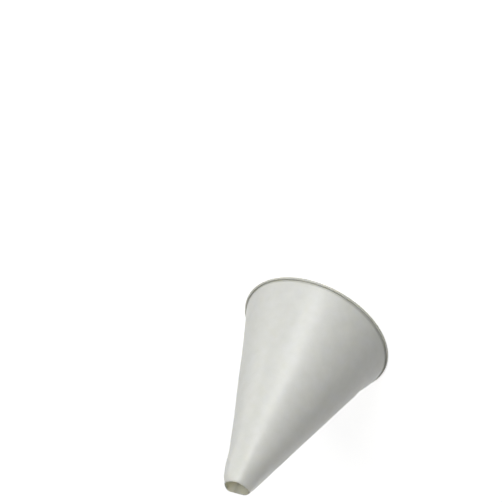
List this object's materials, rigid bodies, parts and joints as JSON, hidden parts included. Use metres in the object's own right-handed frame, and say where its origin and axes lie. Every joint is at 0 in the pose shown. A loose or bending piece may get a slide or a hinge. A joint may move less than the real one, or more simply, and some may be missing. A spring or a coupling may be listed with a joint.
{
  "type": "paper funnel",
  "caption": "Cone-shaped disposable paper funnel with an outward rolled rim, a glued lap seam and an open cut tip, standing mouth down.",
  "frame": {"origin": "centre of the mouth, on the plane of the pressed face of the rolled rim", "axes": "+Z along the axis of the cone from the mouth to the tip, +Y towards the glued lap"},
  "size_m": [0.0801, 0.0803, 0.095],
  "materials": {
    "paper": "smooth off-white paper with a faint satin sheen"
  },
  "bodies": {
    "root": {"funnel": "paper"}
  },
  "joints": []
}
